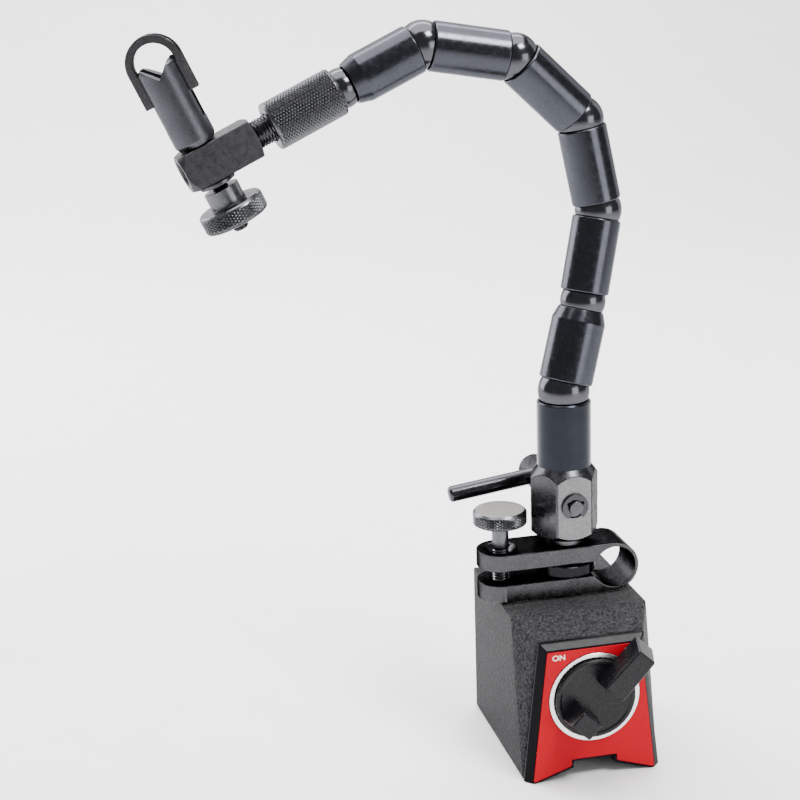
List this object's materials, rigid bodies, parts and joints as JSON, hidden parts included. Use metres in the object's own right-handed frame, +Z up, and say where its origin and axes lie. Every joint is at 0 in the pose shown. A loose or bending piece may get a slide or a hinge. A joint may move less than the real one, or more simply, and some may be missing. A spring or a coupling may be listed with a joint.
{
  "type": "magnetic base indicator holder",
  "caption": "Switchable magnetic base with a fine-adjust spring clamp and a cam-locked ball-and-tube arm that ends in a knurled indicator stem clamp.",
  "frame": {"origin": "centre of the whole object's box in plan, on the plane that the base's two feet stand on", "axes": "+Z up from the base's feet; -Y is the side with the switch knob; the arm leans towards -X"},
  "size_m": [0.1688, 0.0804, 0.2608],
  "materials": {
    "base_pole_left": "black wrinkle paint on iron",
    "base_pole_right": "black wrinkle paint on iron",
    "spacer_top": "machined non-magnetic brass",
    "spacer_bottom": "machined non-magnetic brass",
    "rear_cover": "black wrinkle paint on iron",
    "front_cover": "semi-gloss black paint",
    "face_label": "glossy red printed plate",
    "dial_ring": "silver-white printed ring",
    "shaft_bush": "machined brass",
    "cover_screw_left": "satin bright steel",
    "cover_screw_right": "satin bright steel",
    "stop_pin": "satin bright steel",
    "clamp_washer": "satin bright steel",
    "clamp_lower_leaf": "satin black oxide on machined steel",
    "clamp_base_screw": "glossy black oxide on turned steel",
    "switch_knob": "moulded black plastic, fine grain",
    "rotor_shaft": "satin bright steel",
    "magnet_rotor": "ground magnet",
    "thumbscrew": "satin black oxide on machined steel",
    "clamp_upper_leaf": "satin black oxide on machined steel",
    "post_stud": "glossy black oxide on turned steel",
    "post_collar": "glossy black oxide on turned steel",
    "post_body": "glossy black oxide on turned steel",
    "cam_shaft": "glossy black oxide on turned steel",
    "lever_rod": "glossy black oxide on turned steel",
    "retaining_ring": "glossy black oxide on turned steel",
    "cable_puller": "satin bright steel",
    "tension_cable_0": "stranded steel cable",
    "arm_ball_1": "polished black oxide on hardened steel",
    "arm_ball_2": "polished black oxide on hardened steel",
    "arm_ball_3": "polished black oxide on hardened steel",
    "arm_ball_4": "polished black oxide on hardened steel",
    "arm_ball_5": "polished black oxide on hardened steel",
    "arm_ball_6": "polished black oxide on hardened steel",
    "arm_ball_7": "polished black oxide on hardened steel",
    "arm_tube_1": "glossy black oxide on turned steel",
    "tension_cable_1": "stranded steel cable",
    "arm_tube_2": "glossy black oxide on turned steel",
    "tension_cable_2": "stranded steel cable",
    "arm_tube_3": "glossy black oxide on turned steel",
    "tension_cable_3": "stranded steel cable",
    "arm_tube_4": "glossy black oxide on turned steel",
    "tension_cable_4": "stranded steel cable",
    "arm_tube_5": "glossy black oxide on turned steel",
    "tension_cable_5": "stranded steel cable",
    "arm_tube_6": "glossy black oxide on turned steel",
    "tension_cable_6": "stranded steel cable",
    "knurled_sleeve": "satin black oxide on machined steel",
    "cable_end": "satin bright steel",
    "threaded_stud": "glossy black oxide on turned steel",
    "end_block": "satin black oxide on machined steel",
    "v_sleeve": "satin black oxide on machined steel",
    "spring_washer": "glossy black oxide on turned steel",
    "stem_hook": "satin black oxide on machined steel",
    "clamp_nut": "satin black oxide on machined steel"
  },
  "bodies": {
    "base": {"base_pole_left": "base_pole_left", "base_pole_right": "base_pole_right", "spacer_top": "spacer_top", "spacer_bottom": "spacer_bottom", "rear_cover": "rear_cover", "front_cover": "front_cover", "face_label": "face_label", "dial_ring": "dial_ring", "shaft_bush": "shaft_bush", "cover_screw_left": "cover_screw_left", "cover_screw_right": "cover_screw_right", "stop_pin": "stop_pin", "clamp_washer": "clamp_washer", "clamp_lower_leaf": "clamp_lower_leaf", "clamp_base_screw": "clamp_base_screw"},
    "switch": {"switch_knob": "switch_knob", "rotor_shaft": "rotor_shaft", "magnet_rotor": "magnet_rotor"},
    "fine_screw": {"thumbscrew": "thumbscrew"},
    "post": {"clamp_upper_leaf": "clamp_upper_leaf", "post_stud": "post_stud", "post_collar": "post_collar", "post_body": "post_body"},
    "cam_lever": {"cam_shaft": "cam_shaft", "lever_rod": "lever_rod", "retaining_ring": "retaining_ring"},
    "puller": {"cable_puller": "cable_puller", "tension_cable_0": "tension_cable_0"},
    "ball_1": {"arm_ball_1": "arm_ball_1"},
    "ball_2": {"arm_ball_2": "arm_ball_2"},
    "ball_3": {"arm_ball_3": "arm_ball_3"},
    "ball_4": {"arm_ball_4": "arm_ball_4"},
    "ball_5": {"arm_ball_5": "arm_ball_5"},
    "ball_6": {"arm_ball_6": "arm_ball_6"},
    "ball_7": {"arm_ball_7": "arm_ball_7"},
    "link_1": {"arm_tube_1": "arm_tube_1", "tension_cable_1": "tension_cable_1"},
    "link_2": {"arm_tube_2": "arm_tube_2", "tension_cable_2": "tension_cable_2"},
    "link_3": {"arm_tube_3": "arm_tube_3", "tension_cable_3": "tension_cable_3"},
    "link_4": {"arm_tube_4": "arm_tube_4", "tension_cable_4": "tension_cable_4"},
    "link_5": {"arm_tube_5": "arm_tube_5", "tension_cable_5": "tension_cable_5"},
    "link_6": {"arm_tube_6": "arm_tube_6", "tension_cable_6": "tension_cable_6"},
    "end_sleeve": {"knurled_sleeve": "knurled_sleeve", "cable_end": "cable_end"},
    "head": {"threaded_stud": "threaded_stud", "end_block": "end_block"},
    "stem_clamp": {"v_sleeve": "v_sleeve", "spring_washer": "spring_washer"},
    "hook": {"stem_hook": "stem_hook"},
    "clamp_nut": {"clamp_nut": "clamp_nut"}
  },
  "joints": [
    {"name": "switch_turn", "type": "hinge", "parent": "base", "child": "switch", "pos_m": [0.05828, 0.00508, 0.0307], "axis": [0, -1, 0], "range_deg": [0, 90]},
    {"name": "fine_tilt", "type": "hinge", "parent": "base", "child": "post", "pos_m": [0.07548, 0.00508, 0.0669], "axis": [0, 1, 0], "range_deg": [-1.2, 1.2]},
    {"name": "fine_screw_turn", "type": "hinge", "parent": "base", "child": "fine_screw", "pos_m": [0.03528, 0.00508, 0], "axis": [0, 0, 1], "range_deg": [-305, 305]},
    {"name": "lever_turn", "type": "hinge", "parent": "post", "child": "cam_lever", "pos_m": [0.05928, 0.00508, 0.0922], "axis": [-0.0262, 0.9997, 0], "range_deg": [0, 95]},
    {"name": "cable_pull", "type": "slide", "parent": "post", "child": "puller", "axis": [0, 0, 1], "range_m": [0, 0.0011]},
    {"name": "ball_1_swivel", "type": "hinge", "parent": "post", "child": "ball_1", "pos_m": [0.05928, 0.00508, 0.1319], "axis": [0, 0, 1], "range_deg": [-170, 170]},
    {"name": "ball_1_bend", "type": "hinge", "parent": "ball_1", "child": "link_1", "pos_m": [0.05928, 0.00508, 0.1319], "axis": [-0.4175, 0.9087, 0], "range_deg": [-53, 20]},
    {"name": "ball_2_swivel", "type": "hinge", "parent": "link_1", "child": "ball_2", "pos_m": [0.06778, 0.00899, 0.16255], "axis": [0.2652, 0.1219, 0.9564], "range_deg": [-170, 170]},
    {"name": "ball_2_bend", "type": "hinge", "parent": "ball_2", "child": "link_2", "pos_m": [0.06778, 0.00899, 0.16255], "axis": [0.0474, -0.9924, 0.1133], "range_deg": [-40, 35]},
    {"name": "ball_3_swivel", "type": "hinge", "parent": "link_2", "child": "ball_3", "pos_m": [0.0748, 0.01286, 0.19358], "axis": [0.2191, 0.121, 0.9682], "range_deg": [-170, 170]},
    {"name": "ball_3_bend", "type": "hinge", "parent": "ball_3", "child": "link_3", "pos_m": [0.0748, 0.01286, 0.19358], "axis": [0.1768, -0.9808, 0.0826], "range_deg": [-61, 14]},
    {"name": "ball_4_swivel", "type": "hinge", "parent": "link_3", "child": "ball_4", "pos_m": [0.0688, 0.01443, 0.22503], "axis": [-0.1872, 0.0488, 0.9811], "range_deg": [-170, 170]},
    {"name": "ball_4_bend", "type": "hinge", "parent": "ball_4", "child": "link_4", "pos_m": [0.0688, 0.01443, 0.22503], "axis": [0.0872, -0.994, 0.0661], "range_deg": [-73, 2]},
    {"name": "ball_5_swivel", "type": "hinge", "parent": "link_4", "child": "ball_5", "pos_m": [0.04564, 0.01387, 0.24717], "axis": [-0.7229, -0.0175, 0.6908], "range_deg": [-170, 170]},
    {"name": "ball_5_bend", "type": "hinge", "parent": "ball_5", "child": "link_5", "pos_m": [0.04564, 0.01387, 0.24717], "axis": [-0.0678, -0.9931, -0.0961], "range_deg": [-72, 3]},
    {"name": "ball_6_swivel", "type": "hinge", "parent": "link_5", "child": "ball_6", "pos_m": [0.0141, 0.01549, 0.25267], "axis": [-0.9838, 0.0506, 0.1717], "range_deg": [-170, 170]},
    {"name": "ball_6_bend", "type": "hinge", "parent": "ball_6", "child": "link_6", "pos_m": [0.0141, 0.01549, 0.25267], "axis": [-0.0275, -0.9906, 0.1343], "range_deg": [-72, 3]},
    {"name": "ball_7_swivel", "type": "hinge", "parent": "link_6", "child": "ball_7", "pos_m": [-0.01386, 0.01452, 0.23981], "axis": [-0.9081, -0.0314, -0.4177], "range_deg": [-170, 170]},
    {"name": "ball_7_bend", "type": "hinge", "parent": "ball_7", "child": "end_sleeve", "pos_m": [-0.01386, 0.01452, 0.23981], "axis": [-0.4182, 0.1236, 0.8999], "range_deg": [-35, 28]},
    {"name": "head_turn", "type": "hinge", "parent": "end_sleeve", "child": "head", "pos_m": [-0.01386, 0.01452, 0.23981], "axis": [-0.9079, -0.0872, -0.4099], "range_deg": [-170, 170]},
    {"name": "clamp_turn", "type": "hinge", "parent": "head", "child": "stem_clamp", "pos_m": [-0.06026, 0.01007, 0.21886], "axis": [-0.4125, 0.013, 0.9109], "range_deg": [-170, 170]},
    {"name": "nut_turn", "type": "hinge", "parent": "stem_clamp", "child": "clamp_nut", "pos_m": [-0.06026, 0.01007, 0.21886], "axis": [-0.4125, 0.013, 0.9109], "range_deg": [-900, 1800]},
    {"name": "hook_draw", "type": "slide", "parent": "stem_clamp", "child": "hook", "axis": [-0.4125, 0.013, 0.9109], "range_m": [-0.0041, 0.0021]}
  ],
  "couplings": [
    {"joint": "fine_screw_turn", "follows": "fine_tilt", "ratio": -252.58},
    {"joint": "cable_pull", "follows": "lever_turn", "m_per_rad": 0.0006},
    {"joint": "hook_draw", "follows": "nut_turn", "m_per_rad": -0.00012732}
  ]
}
